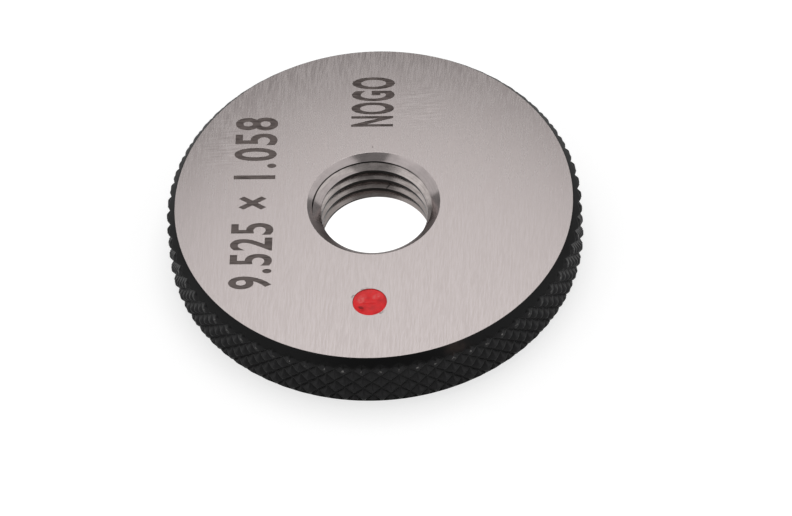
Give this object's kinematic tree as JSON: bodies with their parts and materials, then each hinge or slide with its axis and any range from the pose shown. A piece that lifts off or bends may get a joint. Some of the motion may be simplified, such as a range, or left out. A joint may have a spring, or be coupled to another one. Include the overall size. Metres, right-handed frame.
{
  "type": "thread ring gauge",
  "caption": "Thread ring gauge: flat steel disc with a chamfered threaded bore, ground faces, a diamond-knurled black rim and a red colour mark.",
  "frame": {"origin": "centre of the bottom ground face, on the bore axis", "axes": "+Z along the bore axis, up through the marked face; the colour mark lies towards -Y"},
  "size_m": [0.032, 0.032, 0.0052],
  "materials": {
    "gauge_steel": "ground faces, black oxide on the rim",
    "red_enamel": "semi-gloss enamel"
  },
  "bodies": {
    "root": {"ring_body": "gauge_steel", "red_paint_dot": "red_enamel"}
  },
  "joints": []
}
